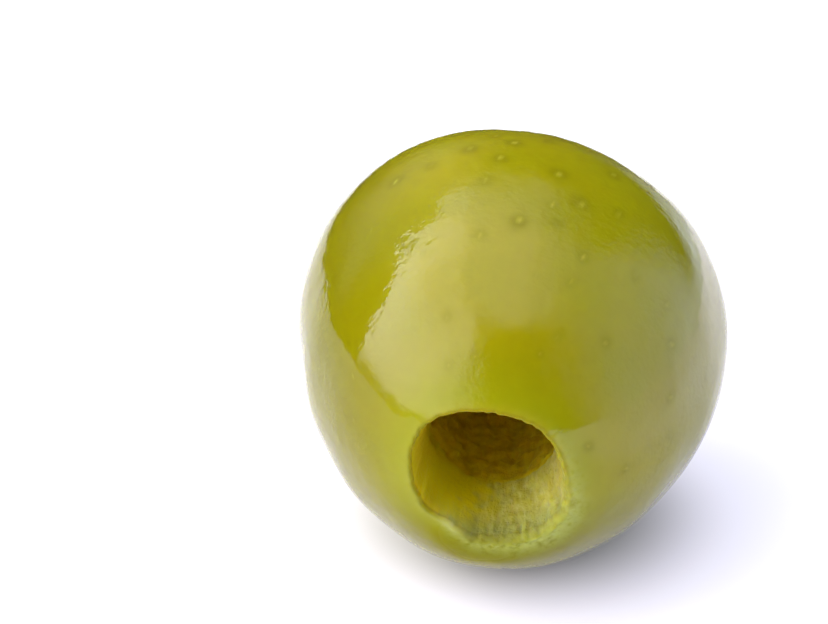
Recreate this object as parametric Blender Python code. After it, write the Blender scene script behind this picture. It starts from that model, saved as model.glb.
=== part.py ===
"""A green table olive with its stone pushed out, lying on its side.

Units are metres and +Z is up. The olive's long axis lies along Y. The round
mouth that the stone left by faces -Y, and the cross that the pitting punch
cuts on its way in is at the other end. The origin is the middle of the box
round the olive, at the height of the surface it lies on.
"""

import math

import bmesh
import bpy
import numpy as np

# The whole fruit, before the mouth is cut: an oval turned round Y.
HALF_LENGTH = 0.01130
HALF_WIDTH = 0.01000
FULLNESS = 2.12  # exponent of the oval: 2 is an ellipse, more is fuller
TAPER = 0.116  # share by which the width grows from the middle to the back

# The fruit is a little out of round, as waves round the axis: (share, crest).
OVAL = (0.028, math.radians(160))
THREE_SIDED = (0.017, math.radians(16))

# The mouth, as its radius seen along Y, with waves round it: (size, crest).
MOUTH_RADIUS = 0.00380
MOUTH_SHIFT = (0.000137, math.radians(-7))
MOUTH_OVAL = (0.000281, math.radians(-52))
MOUTH_THREE_SIDED = (0.000071, math.radians(50))
LIP_ROUNDING = 0.00030

# A tongue of torn skin stands into the mouth at its lower left.
TONGUE_AT = math.radians(232)
TONGUE_HALF_WIDTH = math.radians(13)
TONGUE_LENGTH = 0.00030

# The cut wall narrows from the lip to the neck, where the stone's room begins.
NECK_DEPTH = 0.00430
NECK_RADIUS = 0.00312
NECK_SHIFT = (0.00022, math.radians(180))

# The room that the stone left, pointed at its back as the stone is.
ROOM_RADIUS = 0.00372
ROOM_LENGTH = 0.01150
ROOM_WIDEST = 0.36  # share of the length at which it is widest
ROOM_POINT = 0.62  # exponent of the closing curve: 0.5 is round, 1 is a cone
ROOM_LUMP = 0.00016
ROOM_FURROWS = 9
WALL_LUMP = 0.00005

# The punch's cross at the back: a shallow dish with four slits pressed in.
DISH_DEPTH = 0.00045
DISH_RADIUS = 0.00210
SLIT_DEPTH = 0.00055
SLIT_HALF_WIDTH = 0.00017
SLIT_REACH = 0.00260
SLIT_AT = math.radians(25)
SLIT_COUNT = 4

# The soft fruit flattens where it lies on the surface.
FLAT_DEPTH = 0.00022

# How finely the wall is divided: round the axis, then along each stretch.
SIDES = 72
SKIN_STEPS = 30
SKIN_CROWDING = 0.45  # how far the rings close up towards the mouth and the back
LIP_STEPS = 3
WALL_STEPS = 6
ROOM_STEPS = 12

SKIN_COLOUR = (0.30, 0.27, 0.02, 1.0)
SKIN_ROUGHNESS = 0.22


def clear_scene():
    """Empties the scene that the script is run in."""
    for thing in list(bpy.data.objects):
        bpy.data.objects.remove(thing, do_unlink=True)


def wave(size_and_crest, times, angle):
    """A wave round the axis with that many crests, the first at its crest angle."""
    size, crest = size_and_crest
    return size * np.cos(times * (angle - crest))


def skin_place(turn, angle):
    """(along, out) of the uncut skin. Turn runs from 0 at the front end to pi at the back."""
    along = -HALF_LENGTH * np.sign(np.cos(turn)) * np.abs(np.cos(turn)) ** (2 / FULLNESS)
    out = HALF_WIDTH * np.abs(np.sin(turn)) ** (2 / FULLNESS)
    out = out * (1 + TAPER * along / HALF_LENGTH)
    share = np.clip(out / HALF_WIDTH, 0, 1)
    return along, out * (1 + share * (wave(OVAL, 2, angle) + wave(THREE_SIDED, 3, angle)))


def mouth_radius(angle):
    """Distance of the mouth's edge from the axis."""
    from_tongue = (angle - TONGUE_AT + math.pi) % (2 * math.pi) - math.pi
    tongue = TONGUE_LENGTH * math.exp(-((from_tongue / TONGUE_HALF_WIDTH) ** 2))
    waves = (
        wave(MOUTH_SHIFT, 1, angle)
        + wave(MOUTH_OVAL, 2, angle)
        + wave(MOUTH_THREE_SIDED, 3, angle)
    )
    return MOUTH_RADIUS + waves - tongue


def skin(angle):
    """The skin's rows of (along, out), from the mouth's edge to the last ring before the back pole."""
    turns = np.linspace(0, math.pi / 2, 400)
    reached = skin_place(turns, angle)[1]
    first = np.interp(mouth_radius(angle), reached, turns)
    share = np.linspace(0, 1, SKIN_STEPS + 1)[:-1]
    share = share - SKIN_CROWDING * np.sin(2 * math.pi * share) / (2 * math.pi)
    along, out = skin_place(first + (math.pi - first) * share, angle)
    return np.column_stack([along, out])


def lip(edge):
    """A quarter round from the skin's edge into the hole, without the edge itself."""
    bend = np.linspace(0, math.pi / 2, LIP_STEPS + 1)[1:]
    along = edge[0] + LIP_ROUNDING * (1 - np.cos(bend))
    out = edge[1] - LIP_ROUNDING * np.sin(bend)
    return np.column_stack([along, out])


def neck_radius(angle):
    """Distance of the neck's edge from the axis."""
    return NECK_RADIUS + wave(NECK_SHIFT, 1, angle)


def cut_wall(start, neck_along, angle):
    """The wall that the coring knife left, from the lip to the neck."""
    share = np.linspace(0, 1, WALL_STEPS + 1)[1:]
    ease = share * share * (3 - 2 * share)
    along = start[0] + (neck_along - start[0]) * share
    out = start[1] + (neck_radius(angle) - start[1]) * ease
    out = out + WALL_LUMP * np.sin(math.pi * share) * np.sin(7 * angle + 5 * share)
    return np.column_stack([along, out])


def room_radius(share):
    """The stone's outline: a quick swell behind the neck, then a long closing curve."""
    swell = np.clip(share / ROOM_WIDEST, 0, 1)
    closing = np.clip((share - ROOM_WIDEST) / (1 - ROOM_WIDEST), 0, 1)
    start = NECK_RADIUS / ROOM_RADIUS
    opening = start + (1 - start) * np.sin(math.pi / 2 * swell)
    return ROOM_RADIUS * opening * (1 - closing**2) ** ROOM_POINT


def room(neck_along, angle):
    """The stone's room, from just behind the neck to the last ring before its end."""
    share = np.linspace(0, 1, ROOM_STEPS + 1)[1:-1]
    out = room_radius(share)
    offset = neck_radius(angle) - NECK_RADIUS
    out = out + offset * np.clip(1 - 2 * share, 0, 1)
    furrows = np.sin(ROOM_FURROWS * angle + 4 * share)
    lumps = np.sin(5 * angle - 11 * share) * np.cos(17 * share + 3)
    fade = np.clip(out / ROOM_RADIUS, 0, 1)
    out = out + ROOM_LUMP * fade * (0.6 * furrows + 0.8 * lumps)
    return np.column_stack([neck_along + ROOM_LENGTH * share, out])


def section(angle, neck_along):
    """One cut through the wall: skin from the back to the mouth, lip, cut wall, stone's room."""
    outside = skin(angle)
    rounded = lip(outside[0])
    inside = cut_wall(rounded[-1], neck_along, angle)
    return np.vstack([outside[::-1], rounded, inside, room(neck_along, angle)])


def punch_depth(x, z):
    """How far the back is pressed in at a place seen along Y."""
    far = math.hypot(x, z)
    spacing = 2 * math.pi / SLIT_COUNT
    turn = math.atan2(z, x) - SLIT_AT
    across = far * math.sin((turn + spacing / 2) % spacing - spacing / 2)
    fade = max(0.0, 1 - (far / SLIT_REACH) ** 4)
    slit = SLIT_DEPTH * math.exp(-((across / SLIT_HALF_WIDTH) ** 2)) * fade
    dish = DISH_DEPTH * math.exp(-((far / DISH_RADIUS) ** 2))
    return dish + slit


def add_ring_points(mesh):
    """The rings of points round the axis, back to front and then down the hole."""
    front = skin_place(0.0, 0.0)[0] * (1 - (MOUTH_RADIUS / HALF_WIDTH) ** 2) ** 0.5
    neck_along = front + NECK_DEPTH
    angles = [2 * math.pi * k / SIDES for k in range(SIDES)]
    sections = [section(angle, neck_along) for angle in angles]
    rings = []
    for row in range(len(sections[0])):
        ring = []
        for angle, points in zip(angles, sections):
            along, out = points[row]
            x, z = out * math.cos(angle), out * math.sin(angle)
            if row < SKIN_STEPS and along > 0:
                along -= punch_depth(x, z)
            ring.append(mesh.verts.new((x, along, z)))
        rings.append(ring)
    back_pole = mesh.verts.new((0, HALF_LENGTH - punch_depth(0, 0), 0))
    room_end = mesh.verts.new((0, neck_along + ROOM_LENGTH, 0))
    return rings, back_pole, room_end


def join_rings(mesh, rings, back_pole, room_end):
    """Four-sided faces between neighbouring rings, and a fan at each end."""
    for here, there in zip(rings, rings[1:]):
        for k in range(SIDES):
            after = (k + 1) % SIDES
            mesh.faces.new((here[k], here[after], there[after], there[k]))
    for k in range(SIDES):
        after = (k + 1) % SIDES
        mesh.faces.new((back_pole, rings[0][after], rings[0][k]))
        mesh.faces.new((room_end, rings[-1][k], rings[-1][after]))


def settle(mesh):
    """Presses the underside flat, then moves the middle of the box's underside to the origin."""
    places = np.array([vert.co for vert in mesh.verts])
    floor = places[:, 2].min() + FLAT_DEPTH
    middle = (places.min(axis=0) + places.max(axis=0)) / 2
    for vert in mesh.verts:
        vert.co.z = max(vert.co.z, floor) - floor
        vert.co.x -= middle[0]
        vert.co.y -= middle[1]


def olive_material():
    """Glossy yellow-green skin."""
    material = bpy.data.materials.new("olive_flesh")
    material.use_nodes = True
    shader = material.node_tree.nodes["Principled BSDF"]
    shader.inputs["Base Color"].default_value = SKIN_COLOUR
    shader.inputs["Roughness"].default_value = SKIN_ROUGHNESS
    shader.inputs["Metallic"].default_value = 0.0
    return material


def make_olive():
    """The pitted olive as one closed solid."""
    mesh = bmesh.new()
    join_rings(mesh, *add_ring_points(mesh))
    bmesh.ops.recalc_face_normals(mesh, faces=mesh.faces)
    settle(mesh)
    data = bpy.data.meshes.new("olive")
    mesh.to_mesh(data)
    mesh.free()
    data.materials.append(olive_material())
    data.shade_smooth()
    olive = bpy.data.objects.new("olive", data)
    bpy.context.scene.collection.objects.link(olive)
    return olive


clear_scene()
make_olive()
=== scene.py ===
"""A green table olive with its stone pushed out, lying on a white sheet in soft studio light."""

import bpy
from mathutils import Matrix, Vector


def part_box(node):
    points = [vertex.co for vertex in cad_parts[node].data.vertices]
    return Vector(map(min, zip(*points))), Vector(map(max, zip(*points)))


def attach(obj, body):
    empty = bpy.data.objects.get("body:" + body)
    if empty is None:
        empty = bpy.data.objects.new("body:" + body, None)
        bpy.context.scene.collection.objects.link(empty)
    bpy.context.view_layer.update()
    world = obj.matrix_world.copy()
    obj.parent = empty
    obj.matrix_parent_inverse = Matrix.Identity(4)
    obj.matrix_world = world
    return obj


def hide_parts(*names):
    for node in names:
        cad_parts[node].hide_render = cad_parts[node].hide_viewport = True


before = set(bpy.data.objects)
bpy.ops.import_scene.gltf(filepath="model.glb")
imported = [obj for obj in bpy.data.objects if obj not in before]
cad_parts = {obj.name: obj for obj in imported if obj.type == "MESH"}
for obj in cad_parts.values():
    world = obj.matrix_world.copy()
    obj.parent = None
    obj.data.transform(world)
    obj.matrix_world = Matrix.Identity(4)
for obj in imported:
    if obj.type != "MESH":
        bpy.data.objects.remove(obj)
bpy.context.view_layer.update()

import math

import bpy
import numpy as np
from mathutils import Vector

# The fruit's outside: cured skin drawn smooth over plump flesh, a little wider
# towards the back and a little out of round, as it grew. Its long axis lies
# along Y, and the mouth that the stone left by faces -Y.
MM = 0.001
HALF_LENGTH = 11.30 * MM
HALF_WIDTH = 10.00 * MM
FULLNESS = 2.12  # exponent of the oval: 2 is an ellipse, more is fuller
TAPER = 0.116  # share by which the width grows from the middle to the back
OVAL = (0.028, 160)  # waves round the axis: share of the width, crest in degrees
THREE_SIDED = (0.017, 16)
RIPPLE_WAVES = 60
RIPPLE_SPREAD = (0.75, 1.4)  # shortest and longest wave of a ripple, as shares of its length


def wave(size_and_crest, times, angle):
    """A wave round the axis with that many crests, the first at its crest angle."""
    size, crest = size_and_crest
    return size * np.cos(times * (angle - math.radians(crest)))


def skin_place(turn, angle):
    """(along, out) of the skin: an oval in turn, 0 at the front end and pi at the back, made wider
    to the back by the taper, and then pushed in and out by the two waves round the axis."""
    along = -HALF_LENGTH * np.sign(np.cos(turn)) * np.abs(np.cos(turn)) ** (2 / FULLNESS)
    out = HALF_WIDTH * np.abs(np.sin(turn)) ** (2 / FULLNESS)
    out = out * (1 + TAPER * along / HALF_LENGTH)
    share = np.clip(out / HALF_WIDTH, 0, 1)
    return along, out * (1 + share * (wave(OVAL, 2, angle) + wave(THREE_SIDED, 3, angle)))


def ripple(places, length, seed):
    """Smooth random relief of about unit height: sine waves of nearly one length, each with its own
    direction and start, added together."""
    draw = np.random.default_rng(seed)
    directions = draw.normal(size=(RIPPLE_WAVES, 3))
    directions /= np.linalg.norm(directions, axis=1)[:, None]
    pace = 2 * math.pi / (length * draw.uniform(*RIPPLE_SPREAD, RIPPLE_WAVES))
    start = draw.uniform(0, 2 * math.pi, RIPPLE_WAVES)
    total = np.zeros(places.shape[:-1])
    for direction, speed, phase in zip(directions, pace, start):
        total += np.cos(places @ (direction * speed) + phase)
    return total * math.sqrt(2 / RIPPLE_WAVES)


def bell(distance, width):
    """A smooth bump: 1 at no distance, and about a third at the width."""
    return np.exp(-((distance / width) ** 2))


def ease(value, start, end):
    """0 before the start, 1 after the end, and a smooth step between them."""
    share = np.clip((value - start) / (end - start), 0, 1)
    return share * share * (3 - 2 * share)


# The mouth: a hollow knife has cut through the skin here, and the stone has
# been pushed out through the cut. The skin's edge is nicked all round, more on
# the lower side, where a tongue of torn skin stands into the hole.
MOUTH_RADIUS = 3.84 * MM
MOUTH_SHIFT = (0.137 * MM, -7)
MOUTH_OVAL = (0.281 * MM, -52)
MOUTH_THREE_SIDED = (0.071 * MM, 50)
MOUTH_SQUARE = (0.080 * MM, 45)
NICK_LENGTH = 0.45 * MM
NICK_DEPTH = 0.014 * MM
TEAR_LENGTH = 1.1 * MM
TEAR_DEPTH = 0.045 * MM
TEAR_FROM_TO = (-0.2, 0.5)  # sines below the axis, from no tears to all
TONGUE_AT = 232
TONGUE_HALF_WIDTH = 13
TONGUE_LENGTH = 0.30 * MM
LIP_ROUNDING = 0.10 * MM
SHOULDER_AT = 308  # below and to the right the skin sinks softly into the hole
SHOULDER_HALF_WIDTH = 70
SHOULDER_DEPTH = 0.42 * MM
SHOULDER_LENGTH = 1.3 * MM
SHOULDER_ROUNDING = 0.30 * MM
SKIN_CROWDING = 0.50  # how much closer the rings stand near the mouth and the back end
HALVINGS = 30


def degrees_from(angle, crest):
    """How far an angle is from a crest, in degrees, the short way round."""
    return np.abs((np.degrees(angle) - crest + 180) % 360 - 180)


def lower_side(angle):
    """1 on the lower side of the hole, where the skin tore, and 0 on the upper."""
    return ease(-np.sin(angle), *TEAR_FROM_TO)


def mouth_radius(angle):
    """Distance of the skin's edge from the axis: a circle, four waves round it, fine nicks, longer
    tears on the lower side, and the tongue."""
    rim = MOUTH_RADIUS * np.stack([np.cos(angle), 0 * angle, np.sin(angle)], axis=-1)
    waves = (
        wave(MOUTH_SHIFT, 1, angle)
        + wave(MOUTH_OVAL, 2, angle)
        + wave(MOUTH_THREE_SIDED, 3, angle)
        + wave(MOUTH_SQUARE, 4, angle)
    )
    nicks = NICK_DEPTH * ripple(rim, NICK_LENGTH, 11)
    tears = TEAR_DEPTH * ripple(rim, TEAR_LENGTH, 12) * lower_side(angle)
    tongue = TONGUE_LENGTH * bell(degrees_from(angle, TONGUE_AT), TONGUE_HALF_WIDTH)
    return MOUTH_RADIUS + waves + nicks + tears - tongue


def shoulder(angle):
    """How soft the lip is: 1 below and to the right, 0 on the crisp upper and left sides."""
    return bell(degrees_from(angle, SHOULDER_AT), SHOULDER_HALF_WIDTH)


def mouth_turn(angle):
    """The turn at which the oval is as wide as the mouth, found by halving."""
    low, high = np.zeros_like(angle), np.full_like(angle, math.pi / 2)
    for _ in range(HALVINGS):
        middle = (low + high) / 2
        inside = skin_place(middle, angle)[1] < mouth_radius(angle)
        low, high = np.where(inside, middle, low), np.where(inside, high, middle)
    return high


def skin(share, angle):
    """Skin from the mouth's edge (share 0) to the back end (share 1), with its rings closer together
    near both. Near the mouth it sinks along the axis by the shoulder's bell."""
    crowded = share - SKIN_CROWDING * np.sin(2 * math.pi * share) / (2 * math.pi)
    first = mouth_turn(angle)
    edge_along, edge_out = skin_place(first, angle)
    along, out = skin_place(first + (math.pi - first) * crowded, angle)
    from_edge = np.hypot(along - edge_along, out - edge_out)
    return along + SHOULDER_DEPTH * shoulder(angle) * bell(from_edge, SHOULDER_LENGTH), out


def lip(share, angle):
    """A quarter round from the skin's edge into the hole, wider at the shoulder."""
    along, out = skin(np.zeros_like(share), angle)
    bend = share * math.pi / 2
    rounding = LIP_ROUNDING + SHOULDER_ROUNDING * shoulder(angle)
    return along + rounding * (1 - np.cos(bend)), out - rounding * np.sin(bend)


# The cut wall inside the mouth, narrowing to a neck where the stone's room
# begins. It is bare flesh: smooth where the knife passed, and fibrous at the
# lower right, where the stone dragged it out.
NECK_DEPTH = 4.30 * MM
NECK_RADIUS = 3.12 * MM
NECK_SHIFT = (0.22 * MM, 180)
RIDGE_AT = 150  # flesh left standing at the upper left of the neck
RIDGE_HALF_WIDTH = 26
RIDGE_HEIGHT = 0.20 * MM
NECK_ALONG = -HALF_LENGTH * math.sqrt(1 - (MOUTH_RADIUS / HALF_WIDTH) ** 2) + NECK_DEPTH


def neck_radius(angle):
    """Distance of the neck's edge from the axis: a circle, shifted, less the ridge of flesh."""
    ridge = RIDGE_HEIGHT * bell(degrees_from(angle, RIDGE_AT), RIDGE_HALF_WIDTH)
    return NECK_RADIUS + wave(NECK_SHIFT, 1, angle) - ridge


def cut_wall(share, angle):
    """A smooth step from the lip's radius to the neck's, at an even pace along the axis."""
    lip_along, lip_out = lip(np.ones_like(share), angle)
    along = lip_along + (NECK_ALONG - lip_along) * share
    return along, lip_out + (neck_radius(angle) - lip_out) * ease(share, 0, 1)


# The room that the stone left, which keeps the stone's print: pointed at its
# back, furrowed along, and lumpy with torn flesh.
ROOM_RADIUS = 3.72 * MM
ROOM_LENGTH = 11.50 * MM
ROOM_WIDEST = 0.36  # share of the length at which it is widest
ROOM_POINT = 0.62  # exponent of the closing curve: 0.5 is round, 1 is a cone
ROOM_FURROWS = 9
FURROW_DEPTH = 0.096 * MM
FURROW_TWIST = 4  # radians by which the furrows wind from the neck to the back
FURROW_START = 0.1  # share of the length in which they grow to their depth


def stone_room(share, angle):
    """The stone's outline: a quick swell behind the neck, then a long closing curve, with furrows
    that wind slowly round it."""
    swell = np.clip(share / ROOM_WIDEST, 0, 1)
    closing = np.clip((share - ROOM_WIDEST) / (1 - ROOM_WIDEST), 0, 1)
    start = NECK_RADIUS / ROOM_RADIUS
    opening = start + (1 - start) * np.sin(math.pi / 2 * swell)
    out = ROOM_RADIUS * opening * (1 - closing**2) ** ROOM_POINT
    out = out + (neck_radius(angle) - NECK_RADIUS) * np.clip(1 - 2 * share, 0, 1) ** 2
    fade = np.clip(out / ROOM_RADIUS, 0, 1) * ease(share, 0, FURROW_START)
    out = out + FURROW_DEPTH * fade * np.sin(ROOM_FURROWS * angle + FURROW_TWIST * share)
    return NECK_ALONG + ROOM_LENGTH * share, out


# The back end, where the punch went in: a cross of four slits in a shallow
# dish, whose cut edges have closed again.
DISH_DEPTH = 0.45 * MM
DISH_RADIUS = 2.10 * MM
SLIT_DEPTH = 0.55 * MM
SLIT_HALF_WIDTH = 0.15 * MM
SLIT_REACH = 2.60 * MM
SLIT_AT = 25
SLIT_COUNT = 4


def slit_print(x, z):
    """Depth of the cross at a place seen along Y: a bell across each slit, fading at its end."""
    far = np.hypot(x, z)
    spacing = 2 * math.pi / SLIT_COUNT
    turn = np.arctan2(z, x) - math.radians(SLIT_AT)
    across = far * np.sin((turn + spacing / 2) % spacing - spacing / 2)
    return bell(across, SLIT_HALF_WIDTH) * np.clip(1 - (far / SLIT_REACH) ** 4, 0, 1)


def dish_print(x, z):
    """Depth of the dish round the cross: one wide bell."""
    return bell(np.hypot(x, z), DISH_RADIUS)


# Skin and flesh as one closed sheet of rings, from the back end over the skin,
# round the lip, down the cut wall and through the stone's room to its point.
COLUMNS = 400
SKIN_ROWS = 150
LIP_ROWS = 6
WALL_ROWS = 44
ROOM_ROWS = 42
TOP_CROWDING = 0.22  # how much closer the columns stand on the upper side


def grid_rows():
    """Every ring of the sheet: (along, out, angle, part, share), with the parts numbered 0 for the
    skin, 1 for the lip, 2 for the wall and 3 for the room, and the share run through each."""
    step = np.arange(COLUMNS) / COLUMNS * 2 * math.pi
    angle = step + TOP_CROWDING * np.cos(step)
    parts = [
        (skin, np.linspace(1, 0, SKIN_ROWS + 1)[1:]),
        (lip, np.linspace(0, 1, LIP_ROWS + 1)[1:]),
        (cut_wall, np.linspace(0, 1, WALL_ROWS + 1)[1:]),
        (stone_room, np.linspace(0, 1, ROOM_ROWS + 1)[1:-1]),
    ]
    made = []
    for number, (shape, shares) in enumerate(parts):
        share, around = np.meshgrid(shares, angle, indexing="ij")
        along, out = shape(share, around)
        made.append(np.stack([along, out, around, np.full_like(share, number), share]))
    return np.concatenate(made, axis=1)


def by_part(part, on_skin, on_lip, on_wall, in_room):
    """A value that is given apart for the skin, the lip, the wall and the room."""
    return np.choose(part.astype(int), [on_skin, on_lip, on_wall, in_room])


def outward(places):
    """Unit normals of a sheet that is closed round its columns, from the steps between its points."""
    round_it = np.roll(places, -1, axis=1) - np.roll(places, 1, axis=1)
    down_it = np.gradient(places, axis=0)
    normal = np.cross(round_it, down_it)
    return normal / np.maximum(np.linalg.norm(normal, axis=-1), 1e-12)[..., None]


# The pores that the fruit breathed through: pale dots, each standing a little
# proud in a slight dip. They are larger and clearer on the upper side.
PORE_SEED = 7
PORE_COUNT = 110
PORE_GAP = 1.15 * MM
PORE_COSINES = (-0.97, 0.86)  # keeps the random ones off the cross and out of the mouth
PORE_RADII = (0.06, 0.12)  # of the random ones, in millimetres
PORE_CLEAR_RADIUS = 0.15 * MM
DOT_WIDTH = 0.75  # widths of the dot and of its halo, in radii of the pore
HALO_WIDTH = 2.6
PORE_HEIGHT = 0.007 * MM
PORE_DIP = 0.004 * MM
FRONT_TO_BACK = np.linspace(0.3, math.pi - 0.3, 600)  # turns between which clear pores can stand
# The clear pores: degrees round the axis, millimetres along it, radius in millimetres.
CLEAR_PORES = [
    (77, 1.7, 0.19), (97, 0.2, 0.14), (69, 0.0, 0.18), (86, -2.4, 0.17), (91, 4.1, 0.16),
    (103, 3.1, 0.16), (94, 2.2, 0.15), (75, -1.9, 0.13), (65, -3.4, 0.13), (97, -3.4, 0.12),
    (123, 1.5, 0.15), (119, -3.4, 0.13), (113, 1.9, 0.13), (61, 3.4, 0.14), (58, 0.4, 0.13),
    (27, -4.3, 0.12),
]


def pore_places():
    """Where the pores are on the skin and how wide: the clear ones, then seeded draws that keep
    their distance from each other and from the mouth."""
    draw = np.random.default_rng(PORE_SEED)
    found = []
    for around, along, radius in CLEAR_PORES:
        angle = math.radians(around)
        reached, out = skin_place(FRONT_TO_BACK, angle)
        width = np.interp(along * MM, reached, out)
        found.append((width * math.cos(angle), along * MM, width * math.sin(angle), radius * MM))
    while len(found) < len(CLEAR_PORES) + PORE_COUNT:
        angle = draw.uniform(0, 2 * math.pi)
        turn = math.acos(draw.uniform(*PORE_COSINES))
        along, out = skin_place(turn, angle)
        place = np.array([out * math.cos(angle), along, out * math.sin(angle)])
        gaps = np.linalg.norm(np.array(found)[:, :3] - place, axis=1)
        if gaps.min() > PORE_GAP:
            found.append((*place, draw.uniform(*PORE_RADII) * MM))
    return np.array(found)


def pore_marks(places):
    """(dot, halo) on the skin: a narrow bell in the middle of a pore, and a wide one round it."""
    dot, halo = np.zeros(places.shape[:-1]), np.zeros(places.shape[:-1])
    for x, y, z, radius in pore_places():
        distance = np.linalg.norm(places - (x, y, z), axis=-1)
        strength = min(1.0, (radius / PORE_CLEAR_RADIUS) ** 2)
        dot = np.maximum(dot, strength * bell(distance, DOT_WIDTH * radius))
        halo = np.maximum(halo, strength * bell(distance, HALO_WIDTH * radius))
    return dot, halo * (1 - dot)


# The relief. The skin has the slow swellings of soft fruit and a fine pebbling.
# The flesh is fibrous and crumbly where it tore, nearly smooth where it was
# cut, and lumpy in the stone's room.
SWELLING = (4.5 * MM, 0.022 * MM)  # length and height
PEBBLING = (0.95 * MM, 0.0028 * MM)
PEBBLED_FROM_MOUTH = 1.2 * MM
FIBRES_FROM = 262  # the fibrous side of the wall, in degrees round the axis
FIBRES_TO = 385
BORDER = (0.7 * MM, 5)  # raggedness of its border: length, and height in degrees
BORDER_LEAN = 14  # degrees by which the fibrous side narrows down the wall
BORDER_FROM_TO = (-22, 24)
TORN_SKIN = (0.5, 0.45 * MM)  # how torn the skin is at the mouth, and how far from it
FIBRES = (0.32 * MM, 1.0)  # lengths across the fibres, and shares of their height
COARSE_FIBRES = (0.60 * MM, 0.6)
FIBRE_STRETCH = (1, 0.16, 1)
FIBRE_HEIGHT = 0.018 * MM
CRUMBS = (0.45 * MM, 0.020 * MM)
CUT_CRUMBS = 0.25  # height of the crumbs where the wall is cut smooth, as a share
CUT_CRUMBS_FROM = 0.1
ROOM_LUMPS = (0.9 * MM, 0.075 * MM)
ROOM_CRUMBS = (0.35 * MM, 0.030 * MM)
ROOM_FADE = (1.5 * MM, 0.12)  # the lumps fade at the room's point and at the neck


def torn_share(places, angle, share, part, from_mouth):
    """1 where flesh is torn to fibres and 0 where it is cut smooth: a stretch of the wall's angles
    with a ragged border that leans inwards. It reaches over the lip and fades on the skin."""
    middle, half = (FIBRES_FROM + FIBRES_TO) / 2, (FIBRES_TO - FIBRES_FROM) / 2
    ragged = BORDER[1] * ripple(places, BORDER[0], 31)
    ragged += BORDER_LEAN * (0.5 - by_part(part, 0.0, 0.0, share, 0.0))
    torn = ease(half - degrees_from(angle, middle) + ragged, *BORDER_FROM_TO)
    skin_torn = TORN_SKIN[0] * bell(from_mouth, TORN_SKIN[1])
    return torn * by_part(part, skin_torn, 0.5 + 0.5 * share, 1.0, 0.0)


def bumps(places, length_and_height, seed):
    """A ripple of that length and height."""
    length, height = length_and_height
    return height * ripple(places, length, seed)


def relief(places, out, share, part, from_mouth, torn, dot, halo):
    """How far the surface stands out. On the skin: swellings and pebbling, starting a little way
    from the mouth, and pores. On flesh: minus fibres and crumbs, by how torn it is. In the room:
    minus lumps and crumbs."""
    drawn = places * FIBRE_STRETCH
    fibres = bumps(drawn, FIBRES, 21) + bumps(drawn, COARSE_FIBRES, 22)
    crumbs = bumps(places, CRUMBS, 23)
    lumps = bumps(places, ROOM_LUMPS, 24) + bumps(places, ROOM_CRUMBS, 25)
    plump = bumps(places, SWELLING, 26) + bumps(places, PEBBLING, 27)
    on_skin = ease(from_mouth, 0, PEBBLED_FROM_MOUTH) * plump + PORE_HEIGHT * dot - PORE_DIP * halo
    on_wall = (1 - torn) * ease(share, 0, CUT_CRUMBS_FROM) * CUT_CRUMBS * crumbs
    in_room = ease(out, 0, ROOM_FADE[0]) * ease(share, 0, ROOM_FADE[1]) * lumps
    where_torn = torn * (FIBRE_HEIGHT * fibres + crumbs)
    return by_part(part, on_skin, 0.0, -on_wall, -in_room) - where_torn


# What the flesh and the skin look like from place to place, as marks from 0 to
# 1: brown at the upper left of the neck, painted shade on the right, green round
# the mouth, and below the mouth wiped of brine. Angles and widths in degrees.
BROWN_SIDE = (174, 36)
BROWN_REACH = 0.26  # how far into the room the wall's colour reaches there
ROOM_EDGE = 0.08
# Where painted shade darkens the torn flesh: the right side of the wall.
RIGHT_SHADE_SIDE = (5, 45)
WIPED_SIDE = (258, 52)
WIPED_WIDTH = 3.3 * MM
GREEN_WIDTH = 1.8 * MM
RIM_WIDTH = (0.35 * MM, 0.55 * MM)  # at the crisp lip, and what the soft lip adds
RIM_STRENGTH = (0.10, 0.90)
EDGE_WIDTH = 0.12 * MM
EDGE_ON_WALL = 0.020
TONGUE_SIDE = (TONGUE_AT + 5, 12)
TONGUE_WIDTH = 0.22 * MM
TONGUE_ON_WALL = (0.12, 0.02)


def side(angle, crest_and_width):
    """1 at an angle round the axis, fading to both sides."""
    crest, width = crest_and_width
    return bell(degrees_from(angle, crest), width)


def surface_marks(angle, share, part, from_mouth):
    """The marks that follow from where a point is: its angle, its part and share, and how far along
    the skin it is from the mouth."""
    soft, brown = shoulder(angle), side(angle, BROWN_SIDE)
    wiped = by_part(part, bell(from_mouth, WIPED_WIDTH), 0.0, 0.0, 0.0)
    rim = bell(from_mouth, RIM_WIDTH[0] + RIM_WIDTH[1] * soft)
    tongue = bell(from_mouth, TONGUE_WIDTH)
    return {
        "depth": by_part(part, 0.0, 0.0, share, 1.0),
        "flesh": by_part(part, 0.0, share, 1.0, 1.0),
        "room": by_part(part, 0.0, 0.0, 0.0, ease(share - BROWN_REACH * brown, 0, ROOM_EDGE)),
        "brown": brown,
        "soft": soft,
        # painted shade on the right side of the wall
        "right_shade": side(angle, RIGHT_SHADE_SIDE),
        "wiped": wiped * side(angle, WIPED_SIDE),
        "green": by_part(part, bell(from_mouth, GREEN_WIDTH), 1.0, 1.0, 1.0),
        "rim": by_part(part, rim, 1.0, 1.0, 1.0) * (RIM_STRENGTH[0] + RIM_STRENGTH[1] * soft),
        "edge": by_part(part, bell(from_mouth, EDGE_WIDTH), 1.0, bell(share, EDGE_ON_WALL), 0.0),
        "tongue": side(angle, TONGUE_SIDE)
        * by_part(part, tongue, 1.0, ease(share, *TONGUE_ON_WALL), 0.0),
    }


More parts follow.
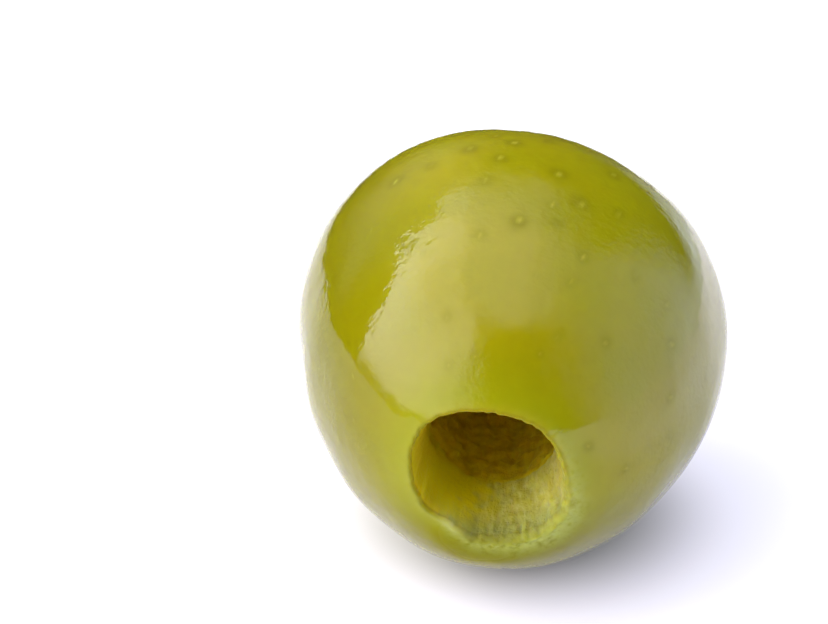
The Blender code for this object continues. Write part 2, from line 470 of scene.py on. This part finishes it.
def olive_sheet():
    """The whole surface as points, and all its marks."""
    along, out, angle, part, share = grid_rows()
    places = np.stack([out * np.cos(angle), along, out * np.sin(angle)], axis=-1)
    back = (part == 0) & (along > 0)
    x, z = places[..., 0], places[..., 2]
    slit = np.where(back, slit_print(x, z), 0)
    places[..., 1] -= SLIT_DEPTH * slit + DISH_DEPTH * np.where(back, dish_print(x, z), 0)
    from_mouth = np.linalg.norm(places - places[SKIN_ROWS - 1], axis=-1)
    torn = torn_share(places, angle, share, part, from_mouth)
    dot, halo = (by_part(part, pore, 0.0, 0.0, 0.0) for pore in pore_marks(places))
    marks = surface_marks(angle, share, part, from_mouth)
    marks.update({"torn": torn, "dot": dot, "halo": halo, "slit": slit})
    height = relief(places, out, share, part, from_mouth, torn, dot, halo)
    return places + outward(places) * height[..., None], marks


def close_sheet(rows, columns):
    """Four-sided faces between neighbouring rings, and a fan of triangles at each end."""
    row, column = np.meshgrid(np.arange(rows - 1), np.arange(columns), indexing="ij")
    after = (column + 1) % columns
    here, beside = row * columns + column, row * columns + after
    quads = np.stack([here, here + columns, beside + columns, beside], axis=-1)
    first, last = np.arange(columns), np.arange(columns) + (rows - 1) * columns
    back_end, room_end = rows * columns, rows * columns + 1
    fan = [(back_end, k, (k + 1) % columns) for k in first]
    fan += [(room_end, last[(k + 1) % columns], last[k]) for k in range(columns)]
    return quads.reshape(-1, 4).tolist() + [tuple(int(v) for v in face) for face in fan]


# The soft fruit flattens a little where it lies.
FLAT_DEPTH = 0.22 * MM


def settle(points):
    """Presses the underside flat, then fits the fruit exactly into its solid's box."""
    floor = points[:, 2].min() + FLAT_DEPTH
    points[:, 2] = np.maximum(points[:, 2], floor)
    low, high = (np.array(corner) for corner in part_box("olive"))
    lowest, highest = points.min(axis=0), points.max(axis=0)
    return low + (points - lowest) * (high - low) / (highest - lowest)


def make_olive():
    """The olive as one closed mesh, with the marks as its point attributes."""
    places, marks = olive_sheet()
    rows, columns = places.shape[:2]
    ends = [places[0].mean(axis=0), places[-1].mean(axis=0)]
    points = settle(np.vstack([places.reshape(-1, 3), ends]))
    mesh = bpy.data.meshes.new("pitted_olive")
    mesh.from_pydata(points.tolist(), [], close_sheet(rows, columns))
    mesh.shade_smooth()
    for name, values in marks.items():
        ends = [values[0].mean(), values[-1].mean()]
        attribute = mesh.attributes.new(name, "FLOAT", "POINT")
        attribute.data.foreach_set("value", np.append(values.ravel(), ends).astype(np.float32))
    olive = bpy.data.objects.new("pitted_olive", mesh)
    bpy.context.scene.collection.objects.link(olive)
    return olive


def node(tree, kind, inputs, **settings):
    """Adds a node. An input that is another node's output is linked, and any other is a value."""
    made = tree.nodes.new(kind)
    for name, value in settings.items():
        setattr(made, name, value)
    for name, value in inputs.items():
        if isinstance(value, bpy.types.NodeSocket):
            tree.links.new(value, made.inputs[name])
        else:
            made.inputs[name].default_value = value
    return made


def mark(tree, name):
    """One of the olive's marks, as a number from 0 to 1."""
    return node(tree, "ShaderNodeAttribute", {}, attribute_name=name).outputs["Fac"]


def maths(tree, operation, first, second=0.0):
    """One sum on two numbers."""
    return node(tree, "ShaderNodeMath", {0: first, 1: second}, operation=operation).outputs[0]


def blend(tree, share, first, second):
    """Two colours mixed: the first at share 0, the second at 1."""
    colours = [c if isinstance(c, bpy.types.NodeSocket) else (*c, 1.0) for c in (first, second)]
    inputs = {0: share, 6: colours[0], 7: colours[1]}
    return node(tree, "ShaderNodeMix", inputs, data_type="RGBA").outputs[2]


def tint(tree, below, share, colour, strength):
    """A colour with another laid over it, by a share times a strength."""
    return blend(tree, maths(tree, "MULTIPLY", share, strength), below, colour)


def grain(tree, length, detail, stretch=(1, 1, 1)):
    """Noise of that grain in metres on the object's own coordinates, from 0 to 1."""
    place = node(tree, "ShaderNodeTexCoord", {}).outputs["Object"]
    place = node(tree, "ShaderNodeMapping", {"Vector": place, "Scale": stretch}).outputs[0]
    inputs = {"Vector": place, "Scale": 1 / length, "Detail": detail}
    return node(tree, "ShaderNodeTexNoise", inputs).outputs[0]


def spread(tree, value, low, high):
    """The part of a value between two limits, stretched to 0 to 1 with a smooth step."""
    inputs = {"Value": value, "From Min": low, "From Max": high}
    found = node(tree, "ShaderNodeMapRange", inputs, interpolation_type="SMOOTHSTEP")
    return found.outputs[0]


def pattern(tree, length, detail, low, high, stretch=(1, 1, 1)):
    """Noise of one grain, stretched to 0 to 1 between two limits."""
    return spread(tree, grain(tree, length, detail, stretch), low, high)


# Colours of cured green olive, as linear red, green and blue. A colour that is
# laid over another has its strength beside it.
SKIN_YELLOW = (0.232, 0.204, 0.0012)
SKIN_GREEN = (0.204, 0.193, 0.0012)
SKIN_DEEP = ((0.190, 0.168, 0.0006), 0.22)
MOUTH_GREEN = ((0.236, 0.246, 0.002), 0.8)
# Painted shade: the skin is darker on the flanks and the underside, as light falls there.
SKIN_FLANK_SHADE = ((0.120, 0.112, 0.0005), 0.85)
SKIN_BELLY_SHADE = ((0.115, 0.107, 0.0005), 0.75)
PORE_HALO = ((0.090, 0.083, 0.0003), 0.55)
PORE_PALE = ((0.38, 0.35, 0.035), 0.75)
RIM_GREEN = ((0.33, 0.37, 0.080), 0.9)
FLESH_TAN = (0.44, 0.41, 0.070)
SLIT_STRENGTH = 0.8
FIBRE_PALE = (0.54, 0.52, 0.150)
# Painted shade laid over the torn flesh on the right.
FLESH_RIGHT_SHADE = ((0.32, 0.26, 0.045), 0.80)
FLESH_SMOOTH = (0.70, 0.61, 0.003)
FLESH_BROWN = (0.44, 0.325, 0.003)
# Painted shade inside the lip: darker flesh on the crisp side, and on the soft side partly the green
# flesh under the skin, partly painted shade.
FLESH_LIP_SHADE = (0.44, 0.385, 0.003)
FLESH_GREEN_SHADED = (0.28, 0.30, 0.09)
LIP_SHADE_STRENGTH = 0.85  # of the two colours above, painted shade inside the lip, which fades out half way down the wall
LIP_SHADE_FROM_TO = (0.50, 0.0)
SOFT_FROM_TO = (0.0, 0.7)
ROOM_BROWN = (0.71, 0.54, 0.010)
ROOM_DARK = (0.54, 0.38, 0.007)
# Painted shade along the lip, where the skin turns into the hole.
EDGE_SHADE = (0.105, 0.097, 0.004)
EDGE_STRENGTH = (0.75, 0.5)  # at the crisp lip, and how much less at the soft lip
TONGUE_PALE = ((0.31, 0.33, 0.10), 0.9)
CROWN_AT = 1.1 * MM  # the palest strip of the skin, and how far from it the flanks darken with painted shade
FLANK_SHADE_FROM_TO = (4.0 * MM, 9.5 * MM)
BELLY_SHADE_FROM_TO = (-9.8 * MM, -4.8 * MM)  # heights, counted downwards, over which painted shade darkens the underside

# Noise in the colours: grain, detail, and the limits that are stretched to 0 to 1.
PATCHES = (6.5 * MM, 1.5, 0.35, 0.65)
FINE_TONE = (0.8 * MM, 3.0, 0.30, 0.75)
SPECKLE = (0.30 * MM, 3.0, 0.15, 0.62)
STREAKS = (0.28 * MM, 3.0, 0.40, 0.68, (1, 0.2, 1))
MOTTLE = (0.7 * MM, 3.0, 0.35, 0.65)


def skin_colour(tree):
    """Yellow-green skin with soft patches, greener round the mouth, with painted shade on the flanks
    and below, with pores, a speckled pale rim at the soft lip, and tan flesh in the slits at the
    back."""
    tone = blend(tree, pattern(tree, *PATCHES), SKIN_YELLOW, SKIN_GREEN)
    tone = tint(tree, tone, pattern(tree, *FINE_TONE), *SKIN_DEEP)
    tone = tint(tree, tone, mark(tree, "green"), *MOUTH_GREEN)
    place = node(tree, "ShaderNodeTexCoord", {}).outputs["Object"]
    x, _, z = node(tree, "ShaderNodeSeparateXYZ", {0: place}).outputs
    # Painted shade, darker towards the flanks and towards the underside.
    sideways = maths(tree, "ABSOLUTE", maths(tree, "SUBTRACT", x, CROWN_AT))
    tone = tint(tree, tone, spread(tree, sideways, *FLANK_SHADE_FROM_TO), *SKIN_FLANK_SHADE)
    downwards = maths(tree, "MULTIPLY", z, -1.0)
    tone = tint(tree, tone, spread(tree, downwards, *BELLY_SHADE_FROM_TO), *SKIN_BELLY_SHADE)
    tone = tint(tree, tone, mark(tree, "halo"), *PORE_HALO)
    tone = tint(tree, tone, mark(tree, "dot"), *PORE_PALE)
    speckled = maths(tree, "MULTIPLY", mark(tree, "rim"), pattern(tree, *SPECKLE))
    tone = tint(tree, tone, speckled, *RIM_GREEN)
    return tint(tree, tone, mark(tree, "slit"), FLESH_TAN, SLIT_STRENGTH)


def flesh_colour(tree):
    """Streaked tan flesh where it tore, with painted shade on the right, and smooth yellow-brown
    where it was cut, both darkened near the lip by painted shade that is greener at the soft lip, and
    mottled brown in the stone's room."""
    fibrous = blend(tree, pattern(tree, *STREAKS), FLESH_TAN, FIBRE_PALE)
    # Painted shade darkens the torn flesh on the right side.
    fibrous = tint(tree, fibrous, mark(tree, "right_shade"), *FLESH_RIGHT_SHADE)
    smooth = blend(tree, mark(tree, "brown"), FLESH_SMOOTH, FLESH_BROWN)
    wall = blend(tree, mark(tree, "torn"), smooth, fibrous)
    # Painted shade on the wall near the lip, fading out down the wall.
    lip_shade = blend(tree, spread(tree, mark(tree, "soft"), *SOFT_FROM_TO), FLESH_LIP_SHADE, FLESH_GREEN_SHADED)
    near_lip = spread(tree, mark(tree, "depth"), *LIP_SHADE_FROM_TO)
    wall = tint(tree, wall, near_lip, lip_shade, LIP_SHADE_STRENGTH)
    stone_print = blend(tree, pattern(tree, *MOTTLE), ROOM_BROWN, ROOM_DARK)
    return blend(tree, mark(tree, "room"), wall, stone_print)


def olive_colour(tree):
    """Skin outside and flesh inside, with painted shade along the cut edge between them and a pale
    torn tongue.
    """
    whole = blend(tree, mark(tree, "flesh"), skin_colour(tree), flesh_colour(tree))
    crisp, less = EDGE_STRENGTH
    strength = maths(tree, "SUBTRACT", crisp, maths(tree, "MULTIPLY", mark(tree, "soft"), less))
    # Painted shade along the cut edge, less at the soft lip.
    whole = tint(tree, whole, mark(tree, "edge"), EDGE_SHADE, strength)
    return tint(tree, whole, mark(tree, "tongue"), *TONGUE_PALE)


# Relief too fine for the mesh: the skin's peel, whose finer grain is stronger in
# some patches than in others, and crumbs and drawn-out threads on the flesh.
PEEL = (0.60 * MM, 1.0, 0.0120 * MM)  # grain, detail and height
FINE_PEEL = (0.28 * MM, 1.5)
FINE_PATCHES = (3.2 * MM, 1.0)
FINE_PATCHES_FROM_TO = (0.42, 0.60)
FINE_HEIGHTS = (0.0045 * MM, 0.0190 * MM)
FLESH_CRUMBS = (0.16 * MM, 3.0, 0.050 * MM)
FLESH_THREADS = (0.12 * MM, 2.0, 0.045 * MM)
THREAD_STRETCH = (1, 0.15, 1)


def grain_height(tree, length, detail, height, stretch=(1, 1, 1)):
    """Noise of one grain times a height."""
    return maths(tree, "MULTIPLY", grain(tree, length, detail, stretch), height)


def olive_relief(tree):
    """Heights in metres: peel and fine peel on the skin, and crumbs and threads on the flesh."""
    patches = {"Value": grain(tree, *FINE_PATCHES)}
    patches.update(zip(("From Min", "From Max"), FINE_PATCHES_FROM_TO))
    patches.update(zip(("To Min", "To Max"), FINE_HEIGHTS))
    fine_height = node(tree, "ShaderNodeMapRange", patches).outputs[0]
    fine = grain_height(tree, *FINE_PEEL, fine_height)
    skin_height = maths(tree, "ADD", grain_height(tree, *PEEL), fine)
    threads = grain_height(tree, *FLESH_THREADS, THREAD_STRETCH)
    flesh_height = maths(tree, "ADD", grain_height(tree, *FLESH_CRUMBS), threads)
    change = maths(tree, "SUBTRACT", flesh_height, skin_height)
    raised = maths(tree, "MULTIPLY", change, mark(tree, "flesh"))
    return maths(tree, "ADD", skin_height, raised)


# The brine film that makes the fruit glossy. It breaks up over a pore and on the
# cut edge, and it is wiped away below the mouth. Light goes far into the flesh.
REFRACTION = 1.33
FILM_SHINE = (1.0, 1.0, 1.0)
FILM_GONE = (0.0, 0.0, 0.0)
FILM_BREAK = 0.9
WIPED_DULLNESS = 0.6
ROOM_DULLNESS = 0.8
DULLEST = 1.8
ROUGHNESS = (0.08, 0.85)
WIPED_FROM_TO = (0.0, 0.7)
WIPED_SHEEN = (0.5, 0.04)
SCATTER_RED_GREEN_BLUE = (1.0, 0.72, 0.10)
SCATTER_DEPTH = 1.4 * MM


def largest(tree, *values):
    """The largest of some numbers."""
    most = values[0]
    for value in values[1:]:
        most = maths(tree, "MAXIMUM", most, value)
    return most


def ramp(tree, value, from_to, reached):
    """A value between two limits, stretched evenly to what it reaches at each of them."""
    inputs = {"Value": value, "From Min": from_to[0], "From Max": from_to[1]}
    inputs.update({"To Min": reached[0], "To Max": reached[1]})
    return node(tree, "ShaderNodeMapRange", inputs).outputs[0]


def olive_material():
    """Wet skin over flesh that lets light through: red and green travel far in it, blue hardly."""
    material = bpy.data.materials.new("olive_flesh")
    material.use_nodes = True
    tree = material.node_tree
    shader = tree.nodes["Principled BSDF"]
    tree.links.new(olive_colour(tree), shader.inputs["Base Color"])
    height = {"Height": olive_relief(tree), "Strength": 1.0, "Distance": 1.0}
    tree.links.new(node(tree, "ShaderNodeBump", height).outputs[0], shader.inputs["Normal"])
    wiped = maths(tree, "MULTIPLY", mark(tree, "wiped"), WIPED_DULLNESS)
    dull = largest(tree, mark(tree, "flesh"), wiped, mark(tree, "tongue"))
    dull = maths(tree, "ADD", dull, maths(tree, "MULTIPLY", mark(tree, "room"), ROOM_DULLNESS))
    tree.links.new(ramp(tree, dull, (0.0, DULLEST), ROUGHNESS), shader.inputs["Roughness"])
    broken = largest(tree, mark(tree, "halo"), mark(tree, "edge"), mark(tree, "tongue"))
    film = tint(tree, FILM_SHINE, broken, FILM_GONE, FILM_BREAK)
    tree.links.new(film, shader.inputs["Specular Tint"])
    sheen = ramp(tree, mark(tree, "wiped"), WIPED_FROM_TO, WIPED_SHEEN)
    tree.links.new(sheen, shader.inputs["Specular IOR Level"])
    shader.inputs["IOR"].default_value = REFRACTION
    shader.inputs["Subsurface Weight"].default_value = 1.0
    shader.inputs["Subsurface Radius"].default_value = SCATTER_RED_GREEN_BLUE
    shader.inputs["Subsurface Scale"].default_value = SCATTER_DEPTH
    return material


olive = make_olive()
olive.data.materials.append(olive_material())
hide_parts("olive")
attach(olive, "root")

# The sheet it lies on: plain white card, large enough to be all that shows. It
# glows a little, as painted light that lifts its shade, though not close to the
# fruit, which leaves a painted shadow under it.
SHEET_HALF_WIDTH = 2.0
SHEET_FRONT = -2.0
SHEET_BACK = 0.055
SHEET_WHITE = (0.55, 0.55, 0.55, 1.0)
SHEET_ROUGHNESS = 0.7
SHEET_SHEEN = 0.2
SHEET_GAP = 0.00001
SHEET_PAINTED_GLOW = 0.54
SHEET_GLOW_COLOUR = (0.88, 0.83, 1.05, 1.0)
GLOW_FROM_TO = (3.5 * MM, 10.0 * MM)
GLOW_STRETCH = (0.85, 1.05, 1.0)  # the painted shadow under the fruit is an oval, wider across
GLOW_SHIFT = (0.3 * MM, -1.1 * MM, 0.0)  # added after the stretch, so the painted shadow lies further back
RIGHT_GLOW = 1.0  # painted light: the sheet glows brighter still on the right, from this far off
RIGHT_GLOW_FROM_TO = (16.0 * MM, 34.0 * MM)


def sheet_material():
    """White card that glows with painted light at a distance from the fruit, brighter on the right.
    """
    material = bpy.data.materials.new("white_card")
    material.use_nodes = True
    tree = material.node_tree
    shader = tree.nodes["Principled BSDF"]
    shader.inputs["Base Color"].default_value = SHEET_WHITE
    shader.inputs["Roughness"].default_value = SHEET_ROUGHNESS
    shader.inputs["Specular IOR Level"].default_value = SHEET_SHEEN
    shader.inputs["Emission Color"].default_value = SHEET_GLOW_COLOUR
    place = node(tree, "ShaderNodeTexCoord", {}).outputs["Object"]
    oval = {"Vector": place, "Location": GLOW_SHIFT, "Scale": GLOW_STRETCH}
    oval = node(tree, "ShaderNodeMapping", oval).outputs[0]
    far = node(tree, "ShaderNodeVectorMath", {0: oval}, operation="LENGTH").outputs["Value"]
    # Painted light: the sheet glows away from the fruit, leaving a painted shadow under it.
    glow = maths(tree, "MULTIPLY", spread(tree, far, *GLOW_FROM_TO), SHEET_PAINTED_GLOW)
    sideways = node(tree, "ShaderNodeSeparateXYZ", {0: place}).outputs[0]
    right_glow = maths(tree, "MULTIPLY", spread(tree, sideways, *RIGHT_GLOW_FROM_TO), RIGHT_GLOW)
    tree.links.new(maths(tree, "ADD", glow, right_glow), shader.inputs["Emission Strength"])
    return material


def make_sheet():
    """A flat rectangle at the height of the olive's underside."""
    wide, front, back = SHEET_HALF_WIDTH, SHEET_FRONT, SHEET_BACK
    corners = [(-wide, front), (wide, front), (wide, back), (-wide, back)]
    mesh = bpy.data.meshes.new("white_sheet")
    points = [(x, y, -SHEET_GAP) for x, y in corners]
    mesh.from_pydata(points, [], [(0, 1, 2, 3)])
    mesh.materials.append(sheet_material())
    sheet = bpy.data.objects.new("white_sheet", mesh)
    bpy.context.scene.collection.objects.link(sheet)


make_sheet()

# The studio: a tall soft light on the left that fades towards the camera, a
# weaker one on the right and a cloth ceiling, in an otherwise dark room. The dark
# gap between the two side lights is what the band down the olive's front shows.
# Each light is a window in the sky: its left, right, lower and upper edge, each
# as the places where it starts and ends, counted rightwards or upwards. They are
# azimuths from -Y towards +X and elevations, in degrees, or for the ceiling and
# where the left light meets it x and y on a plane at height 1.
ENDLESS = (-1e4, -9e3)
ALL_ROUND = (-180, -179)
LEFT_UNDER_CEILING = (ENDLESS, (-0.40, -0.02), ENDLESS, (0.17, 0.23))
LEFT_TALL = (4.4, (ALL_ROUND, (-48, 4), (0, 9), (89, 90)))  # radiance and window
LEFT_LOW = (4.0, (ALL_ROUND, (-88, -34), (-4, 28), (38, 64)))
CLOTH = (2.6, ((-0.54, -0.48), (0.10, 0.80), (-0.42, -0.08), (0.15, 1.65)))
CLOTH_STRIP = (2.7, ((-0.54, -0.48), (-0.35, 0.10), (-0.20, 0.00), (0.85, 1.10)))
CEILING_STEP = 0.34  # how much further back the left light reaches where it meets the ceiling
CEILING_STEP_FROM_TO = (-2.2, -0.9)
COOL_LAMPS = (
    (1.1, ((42, 84), (122, 146), (-12, -4), (48, 66))),  # the right light
    (1.4, ((42, 84), (122, 146), (-12, -4), (-5, 60))),  # what its lower part adds
    (1.8, ((108, 140), (152, 178), (-32, -22), (-14, 0))),  # its low end, behind the olive
    (0.5, ((-182, -150), (-125, -105), (-5, 15), (60, 80))),  # a faint glow at the back left
)
DIM_ROOM = (0.04, 0.04, 0.04)
PLAIN_WHITE = (1.0, 1.0, 1.0)
WARM = (1.03, 1.00, 0.96)
COOL = (0.90, 0.98, 1.12)
LOWEST_HEIGHT = 0.01  # keeps the plane's x and y finite


def sky_window(tree, radiance, across, up, window):
    """Radiance inside a window and 0 outside, as the product of a smooth step at each edge."""
    left, right, low, high = window
    for value, (start, end) in ((across, left), (across, right[::-1]), (up, low), (up, high[::-1])):
        radiance = maths(tree, "MULTIPLY", spread(tree, value, start, end), radiance)
    return radiance


def shine(tree, colour, radiance):
    """A colour times a radiance."""
    inputs = {0: colour, "Scale": radiance}
    return node(tree, "ShaderNodeVectorMath", inputs, operation="SCALE").outputs[0]


def light_studio():
    """The world's light by direction. The left light and the ceiling meet, so the stronger of the
    two shows where they overlap, and the other lights are added."""
    world = bpy.data.worlds.new("studio")
    bpy.context.scene.world = world
    world.use_nodes = True
    tree = world.node_tree
    direction = node(tree, "ShaderNodeTexCoord", {}).outputs["Generated"]
    x, y, z = node(tree, "ShaderNodeSeparateXYZ", {0: direction}).outputs
    turn = maths(tree, "ARCTAN2", x, maths(tree, "MULTIPLY", y, -1.0))
    azimuth = maths(tree, "DEGREES", turn)
    elevation = maths(tree, "DEGREES", maths(tree, "ARCSINE", z))
    height = maths(tree, "MAXIMUM", z, LOWEST_HEIGHT)
    across, along = maths(tree, "DIVIDE", x, height), maths(tree, "DIVIDE", y, height)
    step = spread(tree, across, *CEILING_STEP_FROM_TO)
    back_edge = maths(tree, "SUBTRACT", along, maths(tree, "MULTIPLY", step, CEILING_STEP))

    parts = []
    for radiance, window in (LEFT_TALL, LEFT_LOW):
        below = sky_window(tree, radiance, across, back_edge, LEFT_UNDER_CEILING)
        parts.append(sky_window(tree, below, azimuth, elevation, window))
    left = shine(tree, WARM, maths(tree, "ADD", *parts))
    parts = [sky_window(tree, power, across, along, window) for power, window in (CLOTH, CLOTH_STRIP)]
    ceiling = shine(tree, COOL, largest(tree, *parts))
    total = node(tree, "ShaderNodeVectorMath", {0: left, 1: ceiling}, operation="MAXIMUM").outputs[0]
    lamps = [
        shine(tree, COOL, sky_window(tree, radiance, azimuth, elevation, window))
        for radiance, window in COOL_LAMPS
    ]
    for lamp in (*lamps, DIM_ROOM):
        total = node(tree, "ShaderNodeVectorMath", {0: total, 1: lamp}, operation="ADD").outputs[0]
    # Seen directly by the camera, the room is as white as the sheet.
    shown = node(tree, "ShaderNodeLightPath", {}).outputs["Is Camera Ray"]
    total = blend(tree, shown, total, PLAIN_WHITE)
    tree.links.new(total, tree.nodes["Background"].inputs["Color"])


light_studio()

# The camera stands in front of the mouth, a little to the right and well above,
# and far enough off to draw the olive without much perspective.
CAMERA_AZIMUTH = 5.0
CAMERA_ELEVATION = 33.3
CAMERA_DISTANCE = 0.300
CAMERA_LENS = 272.6
CAMERA_CLIP = 0.01
BODY_CENTRE = Vector((-0.103, -0.137, 9.770)) * MM
AIM_RIGHT = -4.53 * MM
AIM_UP = 2.06 * MM


def set_camera():
    """Places the camera by its angles round the olive's middle, and aims beside that middle."""
    turn, rise = math.radians(CAMERA_AZIMUTH), math.radians(CAMERA_ELEVATION)
    back = (math.sin(turn) * math.cos(rise), -math.cos(turn) * math.cos(rise), math.sin(rise))
    back = Vector(back)
    right = Vector((math.cos(turn), math.sin(turn), 0))
    place = BODY_CENTRE + back * CAMERA_DISTANCE
    aim = BODY_CENTRE + right * AIM_RIGHT + back.cross(right) * AIM_UP
    data = bpy.data.cameras.new("camera")
    data.lens = CAMERA_LENS
    data.clip_start = CAMERA_CLIP
    camera = bpy.data.objects.new("camera", data)
    camera.location = place
    camera.rotation_euler = (aim - place).to_track_quat("-Z", "Y").to_euler()
    bpy.context.scene.collection.objects.link(camera)
    bpy.context.scene.camera = camera


set_camera()
bpy.context.scene.view_settings.view_transform = "Standard"
